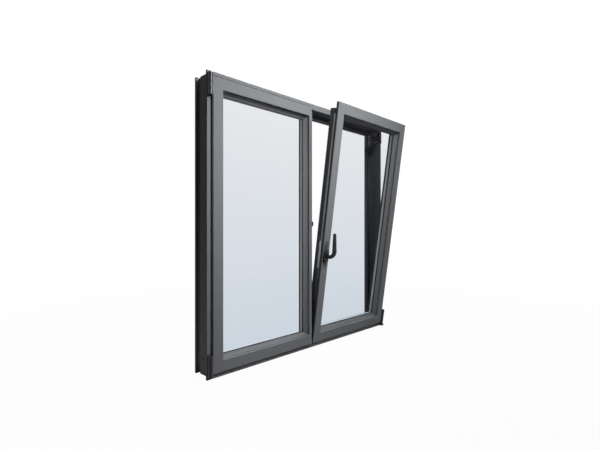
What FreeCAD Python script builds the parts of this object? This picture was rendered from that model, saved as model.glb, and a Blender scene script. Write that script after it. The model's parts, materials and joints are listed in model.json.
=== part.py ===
import FreeCAD, Part
import math
import os
import Sketcher
from FreeCAD import Vector, Rotation, Placement

# Two-leaf tilt and turn window in powder-coated aluminium, millimetres.
# X runs along the width, Y from the room (-Y) to the outside (+Y), Z is up.
# The origin is where the window stands on its packers: in the middle of the width, on the underside
# of the sill's body, between the room-side flange and the anchor groove.
# The left leaf is closed; the right leaf is tilted into the room about its bottom edge.

doc = FreeCAD.newDocument("window")

# Driving dimensions
sizes = {
    # frame
    "width": 1100, "height": 1100, "frame_depth": 90,
    "flange_overhang": 8, "flange_thickness": 8, "frame_face": 24.5, "frame_back": 28,
    "anchor_groove_start": 60, "anchor_groove_width": 21, "anchor_groove_depth": 4, "back_lip_edge": 4,
    "keeper_groove_start": 12, "keeper_groove_width": 14, "keeper_groove_depth": 4,
    "stop_start": 58, "stop_thickness": 8, "stop_reach": 52,
    "fixing_radius": 3, "fixing_height": 66, "fixing_depth": 36, "fixing_spacing": 18,
    # leaf profile
    "leaf_margin": 19, "leaf_proud": 11, "leaf_depth": 61, "leaf_face": 42.5,
    "lip_thickness": 8, "lip_reach": 17.5, "web_thickness": 9, "rebate_step": 2.5,
    "channel_start": 21, "channel_width": 12, "channel_depth": 8.5,
    "outer_leg": 5, "outer_inset": 6, "sight_inset": 13,
    # where the two leaves meet
    "passive_stile_face": 16, "passive_face_edge": 529.5, "leaf_gap": 7.5,
    "astragal_reach": 45, "astragal_thickness": 6, "astragal_end_clearance": 4,
    # glazing
    "pane": 4, "cavity": 12, "pane_start": 31, "glass_clearance": 3, "spacer_height": 11.5,
    "joint_width": 2, "joint_depth": 1.5, "bead_nose": 4, "bead_waist": 9.5, "bead_waist_depth": 21,
    "bead_lip": 2, "gasket": 3, "gasket_width": 5.5, "gasket_reach": 3.5,
    "seal_width": 5, "seal_clearance": 0.3, "seal_overhang": 2.5, "seal_setback": 2, "frame_seal_width": 6,
    # tilt
    "tilt_angle": 8.2, "pivot_forward": 18,
    # handle
    "handle_height": 418, "handle_inset": 18.5, "rose_width": 30, "rose_length": 61, "rose_thickness": 10,
    "rose_corner": 14, "rose_bevel": 2.5, "collar_radius": 10.5, "collar_length": 4,
    "neck_length": 16, "bend_radius": 28, "grip_length": 85, "grip_lean": 7, "grip_taper": 2.4,
    "lever_width": 18, "lever_thickness": 15, "lever_bevel": 1.5, "spindle_clearance": 0.3,
    # hinges and stay
    "hinge_length": 82, "hinge_radius": 8, "hinge_bevel": 2, "knuckle_groove": 0.8, "hinge_inset": 8,
    "hinge_axis": 8, "hinge_stand": 1.5, "hinge_wing": 2, "hinge_plate": 3, "hinge_web": 7,
    "bearing_edge": 22, "bearing_front": 9, "bearing_top": 18,
    "bearing_plate_depth": 32, "stay_length": 250, "stay_width": 14, "stay_thickness": 3, "stay_gap": 2,
    "stay_pin": 4,
    # keeper, lock rail and lock faceplate
    "keeper_length": 22, "keeper_width": 9, "keeper_thickness": 3, "keeper_height": 557,
    "rail_width": 16, "rail_thickness": 2.5, "faceplate_length": 123, "faceplate_width": 9,
    "faceplate_thickness": 2.5, "faceplate_start": 9.5, "faceplate_rise": 1,
}

dims = doc.addObject("Spreadsheet::Sheet", "dims")
for row, (alias, value) in enumerate(sizes.items(), start=1):
    dims.set("A%d" % row, alias)
    dims.set("B%d" % row, str(value))
    dims.setAlias("B%d" % row, alias)
doc.recompute()


def value(expression):
    """The number that an expression on the sheet gives."""
    return float(dims.evalExpression(str(expression).replace("dims.", "")))


def point(x, y, z):
    return Vector(value(x), value(y), value(z))


# Derived lines, as expressions on the sheet
LEAF_LEFT = "dims.leaf_margin"
LEAF_TOP = "(dims.height - dims.leaf_margin)"
ACTIVE_LEFT = "(dims.passive_face_edge + dims.leaf_gap)"
ACTIVE_RIGHT = "(dims.width - dims.leaf_margin)"
PASSIVE_FACE = "(dims.passive_face_edge - dims.passive_stile_face)"
REBATE = "(dims.leaf_face - dims.rebate_step)"
OUTER_SIGHT = "(dims.leaf_face + dims.outer_inset)"
MITRE_REACH = "(dims.stop_reach + dims.leaf_face + dims.sight_inset)"
GLASS_BACK = "(dims.pane_start + 2 * dims.pane + dims.cavity)"

kept = []


def keep(node, shape_object):
    """Give a finished sub-part its label, which names its file."""
    shape_object.Label = node
    kept.append(shape_object)
    return shape_object


# Pieces are laid out from the frame's lower left front corner, and home moves them to the origin
origin_depth = "(dims.flange_thickness + dims.anchor_groove_start) / 2"
home = Placement(point("0 - dims.width / 2", "0 - " + origin_depth, "0 - dims.flange_overhang"), Rotation())
# The tilted leaf turns about the line of its bottom hinge
pivot = point("0", "0 - dims.pivot_forward", "dims.leaf_margin")
tilt = Placement(Vector(0, 0, 0), Rotation(Vector(1, 0, 0), value("dims.tilt_angle")), pivot)
closed = Placement()


def origin_plane(body, role):
    return [feature for feature in body.Origin.OriginFeatures if feature.Role == role][0]


def outline(body, name, role, loops):
    """A sketch whose corners are bound to the sheet. A corner that brings a centre starts an arc about it."""
    sketch = body.newObject("Sketcher::SketchObject", name)
    sketch.AttachmentSupport = [(origin_plane(body, role), "")]
    sketch.MapMode = "FlatFace"

    def bind(index, place, x, y):
        for kind, expression in (("DistanceX", x), ("DistanceY", y)):
            if expression is not None:
                distance = Sketcher.Constraint(kind, -1, 1, index, place, value(expression))
                sketch.setExpression("Constraints[%d]" % sketch.addConstraint(distance), expression)

    for loop in loops:
        spots = [Vector(value(corner[0]), value(corner[1]), 0) for corner in loop]
        runs = []
        for i in range(len(loop)):
            start, end = spots[i], spots[(i + 1) % len(spots)]
            if len(loop[i]) == 2:
                runs.append((sketch.addGeometry(Part.LineSegment(start, end)), 1, 2))
                continue
            centre = Vector(value(loop[i][2]), value(loop[i][3]), 0)
            forward = (start - centre).cross(end - centre).z > -0.001
            low, high = [math.atan2(spot.y - centre.y, spot.x - centre.x)
                         for spot in ((start, end) if forward else (end, start))]
            circle = Part.Circle(centre, Vector(0, 0, 1), (start - centre).Length)
            arc = sketch.addGeometry(Part.ArcOfCircle(circle, low, high if high > low else high + 2 * math.pi))
            runs.append((arc, 1, 2) if forward else (arc, 2, 1))
        for i, corner in enumerate(loop):
            run, following = runs[i], runs[(i + 1) % len(runs)]
            sketch.addConstraint(Sketcher.Constraint("Coincident", run[0], run[2], following[0], following[1]))
            bind(run[0], run[1], corner[0], corner[1])
            if len(corner) == 4:
                # the arc's ends already place its centre across an upright chord, or along a level one
                chord = spots[(i + 1) % len(spots)] - spots[i]
                upright = abs(chord.y) > abs(chord.x)
                bind(run[0], 3, corner[2] if upright else None, None if upright else corner[3])
    return sketch


def stadium(length, width, middle="0"):
    """The corners of a bar with round ends along the sketch's x, with its middle line at a given y."""
    half = "(%s) / 2" % width
    reach = "((%s) / 2 - %s)" % (length, half)
    back = "(0 - %s)" % reach
    low, high = "%s - %s" % (middle, half), "%s + %s" % (middle, half)
    return [(back, low), (reach, low, reach, middle), (reach, high), (back, high, back, middle)]


def pad(body, name, sketch, length, reversed=False):
    feature = body.newObject("PartDesign::Pad", name)
    feature.Profile = sketch
    feature.setExpression("Length", length)
    feature.Reversed = reversed
    return feature


def cut_through(body, name, sketch):
    feature = body.newObject("PartDesign::Pocket", name)
    feature.Profile = sketch
    feature.Type = "ThroughAll"
    feature.SideType = "Symmetric"
    return feature


def soften(body, name, feature, outward, width):
    """Bevel the edges of the face that lies furthest along a direction."""
    doc.recompute()
    faces = feature.Shape.Faces
    furthest = max(range(len(faces)), key=lambda i: faces[i].CenterOfMass.dot(outward))
    bevel = body.newObject("PartDesign::Chamfer", name)
    bevel.Base = (feature, ["Face%d" % (furthest + 1)])
    bevel.setExpression("Size", width)
    return bevel


# How a profile stands on each side of a rectangle: x points inward, z runs along the member
TURNS = {"left": 0, "top": 90, "right": 180, "bottom": -90}


def member(node, section, side, x0, x1, z0, z1, depth, pose, start_mitre=True, end_mitre=True):
    """One length of profile on a side of the rectangle x0, x1, z0, z1, mitred where asked."""
    body = doc.addObject("PartDesign::Body", node)
    length = "(%s) - (%s)" % ((z1, z0) if side in ("left", "right") else (x1, x0))
    pad(body, node + "_pad", outline(body, node + "_section", "XY_Plane", [section]), length)
    corners = []
    if start_mitre:
        corners.append([("0", "0"), (MITRE_REACH, "0"), (MITRE_REACH, MITRE_REACH)])
    if end_mitre:
        corners.append([("0", length), (MITRE_REACH, length), (MITRE_REACH, "%s - %s" % (length, MITRE_REACH))])
    if corners:
        cut_through(body, node + "_mitre", outline(body, node + "_mitre_lines", "XZ_Plane", corners))
    x, z = {"left": (x0, z0), "top": (x0, z1), "right": (x1, z1), "bottom": (x1, z0)}[side]
    local = Placement(point(x, depth, z), Rotation(Vector(0, 1, 0), TURNS[side]))
    body.Placement = home.multiply(pose).multiply(local)
    return keep(node, body)


def box(name, x0, x1, y0, y1, z0, z1, pose=closed):
    solid = doc.addObject("Part::Box", name)
    solid.setExpression("Length", "(%s) - (%s)" % (x1, x0))
    solid.setExpression("Width", "(%s) - (%s)" % (y1, y0))
    solid.setExpression("Height", "(%s) - (%s)" % (z1, z0))
    solid.Placement = pose.multiply(Placement(point(x0, y0, z0), Rotation()))
    return solid


def cylinder(name, radius, length, x, y, z, direction=Vector(0, 0, 1)):
    solid = doc.addObject("Part::Cylinder", name)
    solid.setExpression("Radius", radius)
    solid.setExpression("Height", length)
    solid.Placement = Placement(point(x, y, z), Rotation(Vector(0, 0, 1), direction))
    return solid


def fuse(name, solids):
    joined = doc.addObject("Part::MultiFuse", name)
    joined.Shapes = solids
    joined.Refine = True
    return joined


def cut(name, base, tool):
    result = doc.addObject("Part::Cut", name)
    result.Base = base
    result.Tool = tool
    return result


def ring(node, x0, x1, z0, z1, band, y0, y1, pose):
    """A flat four-sided band, such as a seal or a glass spacer."""
    outer = box(node + "_outer", x0, x1, y0, y1, z0, z1)
    inner = box(node + "_inner", "%s + %s" % (x0, band), "%s - %s" % (x1, band),
                "%s - 1" % y0, "%s + 1" % y1, "%s + %s" % (z0, band), "%s - %s" % (z1, band))
    band_solid = cut(node, outer, inner)
    band_solid.Placement = home.multiply(pose)
    return keep(node, band_solid)


# Outer frame: room-side flange, anchor groove, keeper groove and stop leg
frame_section = [
    ("0", "0"), ("dims.frame_face", "0"),
    ("dims.frame_face", "dims.keeper_groove_start"),
    ("dims.frame_face - dims.keeper_groove_depth", "dims.keeper_groove_start"),
    ("dims.frame_face - dims.keeper_groove_depth", "dims.keeper_groove_start + dims.keeper_groove_width"),
    ("dims.frame_face", "dims.keeper_groove_start + dims.keeper_groove_width"),
    ("dims.frame_face", "dims.stop_start"),
    ("dims.stop_reach", "dims.stop_start"),
    ("dims.stop_reach", "dims.stop_start + dims.stop_thickness"),
    ("dims.frame_back", "dims.stop_start + dims.stop_thickness"),
    ("dims.frame_back", "dims.frame_depth"), ("dims.back_lip_edge", "dims.frame_depth"),
    ("dims.back_lip_edge", "dims.anchor_groove_start + dims.anchor_groove_width"),
    ("dims.flange_overhang + dims.anchor_groove_depth", "dims.anchor_groove_start + dims.anchor_groove_width"),
    ("dims.flange_overhang + dims.anchor_groove_depth", "dims.anchor_groove_start"),
    ("dims.flange_overhang", "dims.anchor_groove_start"),
    ("dims.flange_overhang", "dims.flange_thickness"), ("0", "dims.flange_thickness"),
]
frame = {}
for node, side in (("frame_left_jamb", "left"), ("frame_right_jamb", "right"),
                   ("frame_head", "top"), ("frame_sill", "bottom")):
    frame[side] = member(node, frame_section, side, "0", "dims.width", "0", "dims.height", "0", closed)

# Fixing holes through the jambs, in pairs near their ends
for side in ("left", "right"):
    jamb = frame[side]
    sketch = jamb.newObject("Sketcher::SketchObject", side + "_fixing_centres")
    sketch.AttachmentSupport = [(origin_plane(jamb, "YZ_Plane"), "")]
    sketch.MapMode = "FlatFace"
    spots = [(depth, height) for depth in ("dims.fixing_depth", "dims.fixing_depth + dims.fixing_spacing")
             for height in ("dims.fixing_height", "dims.height - dims.fixing_height")]
    for index, (depth, height) in enumerate(spots):
        centre = Vector(value(depth), value(height), 0)
        sketch.addGeometry(Part.Circle(centre, Vector(0, 0, 1), value("dims.fixing_radius")))
        for kind, expression in (("DistanceX", depth), ("DistanceY", height)):
            distance = Sketcher.Constraint(kind, -1, 1, index, 3, value(expression))
            sketch.setExpression("Constraints[%d]" % sketch.addConstraint(distance), expression)
        radius = sketch.addConstraint(Sketcher.Constraint("Radius", index, value("dims.fixing_radius")))
        sketch.setExpression("Constraints[%d]" % radius, "dims.fixing_radius")
    cut_through(jamb, side + "_fixing_holes", sketch)

SEAL_INSET = "(dims.stop_reach - dims.frame_seal_width - 2)"
ring("frame_seal", SEAL_INSET, "dims.width - %s" % SEAL_INSET, SEAL_INSET, "dims.height - %s" % SEAL_INSET,
     "dims.frame_seal_width", "(dims.leaf_depth - dims.leaf_proud + dims.seal_clearance)", "dims.stop_start",
     closed)

# Leaf profile: lip over the frame, hardware channel, glazing rebate and outer leg
leaf_section = [
    ("0", "0"), ("dims.leaf_face", "0"), ("dims.leaf_face", "dims.web_thickness"),
    (REBATE, "dims.web_thickness"), (REBATE, "dims.leaf_depth - dims.outer_leg"),
    (OUTER_SIGHT, "dims.leaf_depth - dims.outer_leg"), (OUTER_SIGHT, "dims.leaf_depth"),
    ("dims.lip_reach", "dims.leaf_depth"),
    ("dims.lip_reach", "dims.channel_start + dims.channel_width"),
    ("dims.lip_reach + dims.channel_depth", "dims.channel_start + dims.channel_width"),
    ("dims.lip_reach + dims.channel_depth", "dims.channel_start"),
    ("dims.lip_reach", "dims.channel_start"),
    ("dims.lip_reach", "dims.lip_thickness"), ("0", "dims.lip_thickness"),
]
# Glazing bead, measured from the rebate floor: a joint groove, a long flank and a lip towards the glass
BEAD_BACK = "(dims.pane_start - dims.gasket)"
BEAD_REACH = "(dims.rebate_step + dims.sight_inset)"
joint_floor = "(dims.rebate_step - dims.joint_depth)"
joint_end = "(dims.web_thickness + dims.joint_width)"
bead_section = [
    ("0", "dims.web_thickness"), (joint_floor, "dims.web_thickness"), (joint_floor, joint_end),
    ("dims.bead_nose", joint_end), ("dims.bead_waist", "dims.bead_waist_depth"),
    (BEAD_REACH, "%s - dims.bead_lip" % BEAD_BACK), (BEAD_REACH, BEAD_BACK), ("0", BEAD_BACK),
]
FACE_DEPTH = "(0 - dims.leaf_proud)"


def glazing(prefix, x0, x1, z0, z1, pose):
    """Beads, panes, spacer and gaskets inside the rebate rectangle x0, x1, z0, z1."""
    for side in ("left", "right", "top", "bottom"):
        member("%s_%s_bead" % (prefix, side), bead_section, side, x0, x1, z0, z1, FACE_DEPTH, pose)
    ex0 = "(%s + dims.glass_clearance)" % x0
    ex1 = "(%s - dims.glass_clearance)" % x1
    ez0 = "(%s + dims.glass_clearance)" % z0
    ez1 = "(%s - dims.glass_clearance)" % z1
    layers = (("inner_pane", "dims.pane_start", "dims.pane"),
              ("outer_pane", "dims.pane_start + dims.pane + dims.cavity", "dims.pane"))
    for name, start, thick in layers:
        front = "(%s + %s)" % (FACE_DEPTH, start)
        back = "(%s + %s)" % (front, thick)
        keep("%s_%s" % (prefix, name), box("%s_%s" % (prefix, name), ex0, ex1, front, back, ez0, ez1,
                                           home.multiply(pose)))
    cavity_front = "(%s + dims.pane_start + dims.pane)" % FACE_DEPTH
    ring(prefix + "_spacer", ex0, ex1, ez0, ez1, "dims.spacer_height",
         cavity_front, "(%s + dims.cavity)" % cavity_front, pose)
    room = "(%s + %s)" % (FACE_DEPTH, BEAD_BACK)
    back = "(%s + %s)" % (FACE_DEPTH, GLASS_BACK)
    gaskets = (("inner_gasket", "%s + dims.gasket_reach" % BEAD_REACH, room, "(%s + dims.gasket)" % room),
               ("outer_gasket", "dims.rebate_step + dims.outer_inset", back,
                "(%s + dims.leaf_depth - dims.outer_leg)" % FACE_DEPTH))
    for name, reach, front, end in gaskets:
        inset = "(%s - dims.gasket_width)" % reach
        ring("%s_%s" % (prefix, name), "(%s + %s)" % (x0, inset), "(%s - %s)" % (x1, inset),
             "(%s + %s)" % (z0, inset), "(%s - %s)" % (z1, inset), "dims.gasket_width", front, end, pose)


# Left leaf, closed: three sides of leaf profile and a narrow meeting stile
left = "left_leaf"
member(left + "_hinge_stile", leaf_section, "left", LEAF_LEFT, PASSIVE_FACE, "dims.leaf_margin", LEAF_TOP,
       FACE_DEPTH, closed)
member(left + "_top_rail", leaf_section, "top", LEAF_LEFT, PASSIVE_FACE, "dims.leaf_margin", LEAF_TOP,
       FACE_DEPTH, closed, start_mitre=True, end_mitre=False)
member(left + "_bottom_rail", leaf_section, "bottom", LEAF_LEFT, PASSIVE_FACE, "dims.leaf_margin", LEAF_TOP,
       FACE_DEPTH, closed, start_mitre=False, end_mitre=True)

# The meeting stile is measured from its right-hand side, x pointing to the glass
STILE_WALL = "(%s + dims.frame_face - dims.leaf_margin)" % ACTIVE_LEFT
PASSIVE_REBATE = "(%s + dims.rebate_step)" % PASSIVE_FACE
stile_step = "(%s - dims.passive_face_edge)" % STILE_WALL
stile_floor = "(%s - %s)" % (STILE_WALL, PASSIVE_REBATE)
stile_sight = "(%s - %s + dims.outer_inset)" % (STILE_WALL, PASSIVE_FACE)
stile_face = "(%s - %s)" % (STILE_WALL, PASSIVE_FACE)
stile_section = [
    (stile_step, "0"), (stile_face, "0"), (stile_face, "dims.web_thickness"),
    (stile_floor, "dims.web_thickness"), (stile_floor, "dims.leaf_depth - dims.outer_leg"),
    (stile_sight, "dims.leaf_depth - dims.outer_leg"), (stile_sight, "dims.leaf_depth"),
    ("0", "dims.leaf_depth"),
    ("0", "dims.leaf_proud + dims.keeper_groove_start + dims.keeper_groove_width"),
    ("dims.keeper_groove_depth", "dims.leaf_proud + dims.keeper_groove_start + dims.keeper_groove_width"),
    ("dims.keeper_groove_depth", "dims.leaf_proud + dims.keeper_groove_start"),
    ("0", "dims.leaf_proud + dims.keeper_groove_start"),
    ("0", "dims.leaf_proud"), (stile_step, "dims.leaf_proud"),
]
stile = member(left + "_meeting_stile", stile_section, "right", LEAF_LEFT, STILE_WALL,
               "dims.leaf_margin", LEAF_TOP, FACE_DEPTH, closed, start_mitre=False, end_mitre=False)
# The stile's outer leg stops where the rails' own legs run behind it
leg_start = stile_face
leg_end = "(%s + 1)" % stile_sight
leg_length = "(dims.height - 2 * dims.leaf_margin)"
cut_through(stile, "leg_ends", outline(stile, "leg_end_lines", "XZ_Plane", [
    [(leg_start, "0 - 1"), (leg_end, "0 - 1"), (leg_end, OUTER_SIGHT), (leg_start, OUTER_SIGHT)],
    [(leg_start, "%s - %s" % (leg_length, OUTER_SIGHT)), (leg_end, "%s - %s" % (leg_length, OUTER_SIGHT)),
     (leg_end, "%s + 1" % leg_length), (leg_start, "%s + 1" % leg_length)]]))
# Behind the lip the stile stops short of the frame, as the rails do
behind = "(dims.leaf_depth + 1)"
cut_through(stile, "lip_ends", outline(stile, "lip_end_lines", "YZ_Plane", [
    [("dims.lip_thickness", "0 - 1"), (behind, "0 - 1"), (behind, "dims.lip_reach"),
     ("dims.lip_thickness", "dims.lip_reach")],
    [("dims.lip_thickness", "%s - dims.lip_reach" % leg_length), (behind, "%s - dims.lip_reach" % leg_length),
     (behind, "%s + 1" % leg_length), ("dims.lip_thickness", "%s + 1" % leg_length)]]))

glazing(left, "(%s + %s)" % (LEAF_LEFT, REBATE), PASSIVE_REBATE,
        "(dims.leaf_margin + %s)" % REBATE, "(%s - %s)" % (LEAF_TOP, REBATE), closed)

# Astragal: the strip on the passive leaf that the other leaf closes against
LEAF_BACK = "(dims.leaf_depth - dims.leaf_proud)"
ASTRAGAL_Z0 = "(dims.stop_reach + dims.astragal_end_clearance)"
ASTRAGAL_Z1 = "(dims.height - %s)" % ASTRAGAL_Z0
astragal_front = "(%s + dims.astragal_end_clearance)" % LEAF_BACK
flat = box("astragal_flat", "%s - 14" % STILE_WALL, "%s + dims.astragal_reach" % STILE_WALL,
           astragal_front, "%s + dims.astragal_thickness" % astragal_front, ASTRAGAL_Z0, ASTRAGAL_Z1)
foot = box("astragal_foot", "%s - 14" % STILE_WALL, STILE_WALL, LEAF_BACK, astragal_front,
           ASTRAGAL_Z0, ASTRAGAL_Z1)
keep("left_leaf_astragal", fuse("left_leaf_astragal", [flat, foot])).Placement = home

LIP_BACK = "(dims.lip_thickness - dims.leaf_proud)"


def lip_seal(node, x0, x1, open_right, pose):
    """The black seal that wraps a leaf's lip: under it on the frame's face, and round its edge."""
    beyond = "dims.seal_overhang"
    front = "(dims.seal_setback - dims.leaf_proud)"
    low, high = "(dims.leaf_margin - %s)" % beyond, "(%s + %s)" % (LEAF_TOP, beyond)
    end = x1 if open_right else "(%s + %s)" % (x1, beyond)
    inner_end = "(%s + 1)" % x1 if open_right else "(%s - dims.seal_width)" % x1
    wrap = box(node + "_wrap", "(%s - %s)" % (x0, beyond), end, front, "0 - dims.seal_clearance", low, high)
    middle = box(node + "_middle", "(%s + dims.seal_width)" % x0, inner_end, "0 - dims.leaf_proud",
                 "dims.leaf_proud", "dims.leaf_margin + dims.seal_width", "%s - dims.seal_width" % LEAF_TOP)
    lip = box(node + "_lip", x0, "(%s + 1)" % x1 if open_right else x1, "0 - dims.leaf_proud", LIP_BACK,
              "dims.leaf_margin", LEAF_TOP)
    seal = cut(node, cut(node + "_band", wrap, middle), lip)
    seal.Placement = home.multiply(pose)
    keep(node, seal)


# The left leaf's seal runs along its top, left and bottom
lip_seal("left_leaf_seal", LEAF_LEFT, PASSIVE_FACE, True, closed)

# Right leaf, tilted: four sides of leaf profile
right = "right_leaf"
for name, side in (("lock_stile", "left"), ("hinge_stile", "right"),
                   ("top_rail", "top"), ("bottom_rail", "bottom")):
    member("%s_%s" % (right, name), leaf_section, side, ACTIVE_LEFT, ACTIVE_RIGHT, "dims.leaf_margin", LEAF_TOP,
           FACE_DEPTH, tilt)
glazing(right, "(%s + %s)" % (ACTIVE_LEFT, REBATE), "(%s - %s)" % (ACTIVE_RIGHT, REBATE),
        "(dims.leaf_margin + %s)" % REBATE, "(%s - %s)" % (LEAF_TOP, REBATE), tilt)
lip_seal("right_leaf_seal", ACTIVE_LEFT, ACTIVE_RIGHT, False, tilt)

# Lock rail over the hardware channel of the lock stile, and the lock's faceplate beside it
CHANNEL_SIDE = "(%s + dims.lip_reach)" % ACTIVE_LEFT
CHANNEL_MIDDLE = "(dims.channel_start - dims.leaf_proud + dims.channel_width / 2)"
rail_front = "(%s - dims.rail_width / 2)" % CHANNEL_MIDDLE
keep("lock_rail", box("lock_rail", "%s - dims.rail_thickness" % CHANNEL_SIDE, CHANNEL_SIDE,
                      rail_front, "%s + dims.rail_width" % rail_front, "dims.leaf_margin + dims.leaf_face",
                      "%s - dims.leaf_face" % LEAF_TOP, home.multiply(tilt)))
faceplate_front = "(dims.faceplate_start - dims.leaf_proud)"
faceplate_z0 = "(dims.handle_height + dims.faceplate_rise - dims.faceplate_length / 2)"
keep("lock_faceplate", box("lock_faceplate", "%s - dims.faceplate_thickness" % CHANNEL_SIDE, CHANNEL_SIDE,
                           faceplate_front, "%s + dims.faceplate_width" % faceplate_front,
                           faceplate_z0, "%s + dims.faceplate_length" % faceplate_z0, home.multiply(tilt)))

# Keeper on the passive stile, in front of the lock
keeper_y = "(dims.keeper_groove_start + (dims.keeper_groove_width - dims.keeper_width) / 2)"
keeper_z0 = "(dims.keeper_height - dims.keeper_length / 2)"
keeper_span = (keeper_y, "%s + dims.keeper_width" % keeper_y, keeper_z0, "%s + dims.keeper_length" % keeper_z0)
plate = box("keeper_plate", STILE_WALL, "%s + dims.keeper_thickness" % STILE_WALL, *keeper_span)
foot = box("keeper_foot", "%s - dims.keeper_groove_depth" % STILE_WALL, STILE_WALL, *keeper_span)
keep("lock_keeper", fuse("lock_keeper", [plate, foot])).Placement = home


def barrel(name, x, y, z0, pose=closed):
    """A turned hinge barrel with bevelled ends and two grooves between its knuckles."""
    body = doc.addObject("PartDesign::Body", name)
    flat = "(dims.hinge_radius - dims.hinge_bevel)"
    high = "(dims.hinge_length - dims.hinge_bevel)"
    profile = [("0", "0"), (flat, "0"), ("dims.hinge_radius", "dims.hinge_bevel")]
    for share in ("1 / 3", "2 / 3"):
        middle = "dims.hinge_length * %s" % share
        profile += [("dims.hinge_radius", "%s - dims.knuckle_groove" % middle),
                    ("dims.hinge_radius - dims.knuckle_groove", middle),
                    ("dims.hinge_radius", "%s + dims.knuckle_groove" % middle)]
    profile += [("dims.hinge_radius", high), (flat, "dims.hinge_length"), ("0", "dims.hinge_length")]
    sketch = outline(body, name + "_profile", "XZ_Plane", [profile])
    turned = body.newObject("PartDesign::Revolution", name + "_turned")
    turned.Profile = sketch
    turned.ReferenceAxis = (sketch, ["V_Axis"])
    turned.Angle = 360
    body.Placement = pose.multiply(Placement(point(x, y, z0), Rotation()))
    return body


def wide(axis, width):
    """The two sides of something centred on an axis."""
    return "%s - %s / 2" % (axis, width), "%s + %s / 2" % (axis, width)


LEFT_AXIS = "dims.hinge_axis"
RIGHT_AXIS = "(dims.width - dims.hinge_axis)"
HINGE_FRONT = "(0 - dims.hinge_stand - dims.hinge_radius)"
WING_BACK = "(dims.hinge_wing - dims.leaf_proud)"
UPPER_HINGE = "(dims.height - dims.hinge_inset - dims.hinge_length)"
lower_wing = ("dims.leaf_margin + dims.hinge_bevel", "dims.hinge_inset + dims.hinge_length - dims.hinge_bevel")
upper_wing = ("%s + dims.hinge_bevel" % UPPER_HINGE, "%s - dims.hinge_bevel" % LEAF_TOP)

# Left corner hinges: a barrel on the frame's face, with a wing that is fixed to the leaf's edge
for node, z0, wing in (("left_upper_hinge", UPPER_HINGE, upper_wing),
                       ("left_lower_hinge", "dims.hinge_inset", lower_wing)):
    low = "%s + dims.hinge_bevel" % z0
    high = "%s + dims.hinge_length - dims.hinge_bevel" % z0
    web = box(node + "_web", *wide(LEFT_AXIS, "dims.hinge_web"), HINGE_FRONT, "0", low, high)
    flag = box(node + "_plate", *wide(LEFT_AXIS, "2 * dims.hinge_radius"), "0 - dims.hinge_stand", "0",
               low, high)
    tab = box(node + "_wing", LEFT_AXIS, LEAF_LEFT, "0 - dims.leaf_proud", WING_BACK, *wing)
    hinge = fuse(node, [barrel(node + "_barrel", LEFT_AXIS, HINGE_FRONT, z0), web, flag, tab])
    keep(node, hinge).Placement = home

# Right lower hinge: its barrel leans with the leaf and stands on a bearing that is fixed to the frame's face
lean = barrel("right_lower_barrel", RIGHT_AXIS, HINGE_FRONT, "dims.hinge_inset", tilt)
tab = box("right_lower_wing", ACTIVE_RIGHT, RIGHT_AXIS, "0 - dims.leaf_proud", WING_BACK, *lower_wing, tilt)
shelf = box("right_lower_shelf", *wide(RIGHT_AXIS, "2 * dims.hinge_radius"),
            "%s - dims.hinge_radius" % HINGE_FRONT, "0", "dims.hinge_bevel",
            "dims.hinge_inset + dims.hinge_bevel")
keep("right_lower_hinge", fuse("right_lower_hinge", [lean, tab, shelf])).Placement = home

# Right upper stay bearing: a barrel at the frame's inner edge, on a plate in the frame's rebate
BEARING_X = "(dims.width - dims.bearing_edge)"
BEARING_Y = "(0 - dims.bearing_front)"
bearing_z0 = "(dims.height - dims.bearing_top - dims.hinge_length)"
bearing_low = "%s + dims.hinge_bevel" % bearing_z0
bearing_high = "%s + dims.hinge_length - dims.hinge_bevel - dims.frame_face" % bearing_z0
frame_wall = "(dims.width - dims.frame_face)"
rebate_plate = box("bearing_plate", "%s - dims.hinge_plate" % frame_wall, frame_wall, BEARING_Y,
                   "dims.bearing_plate_depth", bearing_low, bearing_high)
face_plate = box("bearing_flag", "%s - dims.hinge_plate" % frame_wall, "%s + dims.hinge_radius" % BEARING_X,
                 BEARING_Y, "0", bearing_low, bearing_high)
bearing = fuse("right_upper_bearing", [barrel("bearing_barrel", BEARING_X, BEARING_Y, bearing_z0),
                                       rebate_plate, face_plate])
keep("right_upper_bearing", bearing).Placement = home

# Stay arm from the bearing to the tilted leaf's top channel
leaf_edge = value("%s - dims.lip_reach" % LEAF_TOP)
channel_floor = tilt.multVec(Vector(0, value(CHANNEL_MIDDLE), leaf_edge - value("dims.channel_depth")))
leg_corner = tilt.multVec(Vector(0, value(LEAF_BACK), leaf_edge))
arm_z = leg_corner.z + value("dims.stay_gap")
pin_z = channel_floor.z + value("dims.stay_pin * sin(dims.tilt_angle * 1 deg) + dims.seal_clearance")
bearing_spot = Vector(value(BEARING_X), value(BEARING_Y), arm_z)
reach = bearing_spot.y - channel_floor.y
offset = value("dims.hinge_radius + dims.seal_clearance")
whole_arm = value("dims.stay_length") - value("dims.stay_width / 2") + offset
direction = Vector(-math.sqrt(whole_arm ** 2 - reach ** 2), -reach, 0).normalize()
arm_body = doc.addObject("PartDesign::Body", "arm_bar")
pad(arm_body, "arm_pad", outline(arm_body, "arm_plan", "XY_Plane",
                                 [stadium("dims.stay_length", "dims.stay_width")]), "dims.stay_thickness")
turn = Rotation(Vector(1, 0, 0), direction)
arm_middle = bearing_spot + direction * (offset + value("dims.stay_length / 2"))
arm_body.Placement = Placement(arm_middle, turn)
pin_spot = bearing_spot + direction * whole_arm
pin = doc.addObject("Part::Cylinder", "arm_pin")
pin.setExpression("Radius", "dims.stay_pin")
pin.Height = arm_z - pin_z
pin.Placement = Placement(Vector(pin_spot.x, pin_spot.y, pin_z), Rotation())
keep("stay_arm", fuse("stay_arm", [arm_body, pin])).Placement = home

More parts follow.
